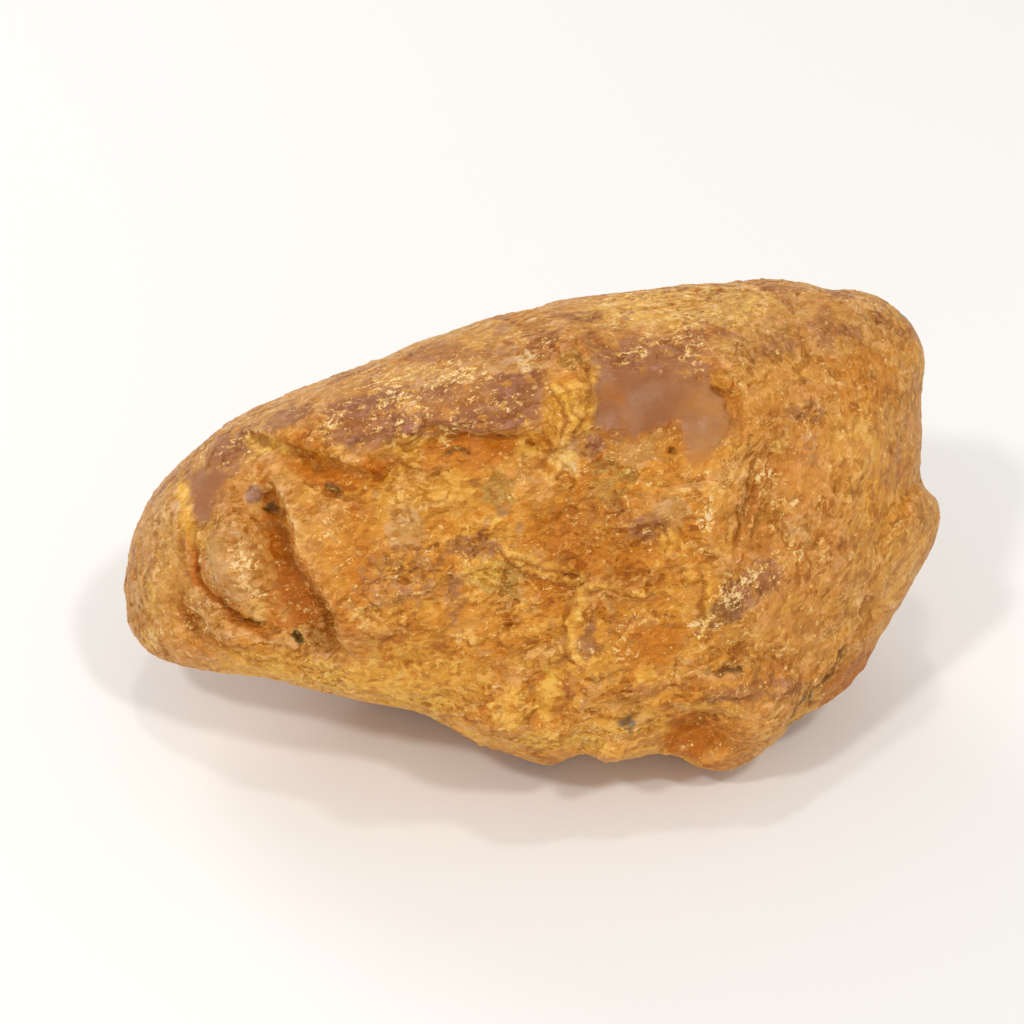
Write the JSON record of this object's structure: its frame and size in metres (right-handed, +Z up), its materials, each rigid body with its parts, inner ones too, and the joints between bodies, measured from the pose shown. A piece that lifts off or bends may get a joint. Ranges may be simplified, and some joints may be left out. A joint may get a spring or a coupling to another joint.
{
  "type": "kauri gum nugget",
  "caption": "Weathered nugget of fossil resin, blunt at one end and broader at the other, with a broken, cracked front face and a worn rounded back, lying on a small flat.",
  "frame": {"origin": "centre of the bounding box, at the level of the surface the nugget lies on", "axes": "+Z up, +X from the narrow nose to the broad end, -Y the side of the broken front face"},
  "size_m": [0.181, 0.0988, 0.0961],
  "materials": {
    "kauri_gum": "weathered ochre crust, mostly matt, over cloudy orange-brown resin that shows glossy where the crust is gone"
  },
  "bodies": {
    "root": {"gum_nugget": "kauri_gum"}
  },
  "joints": []
}
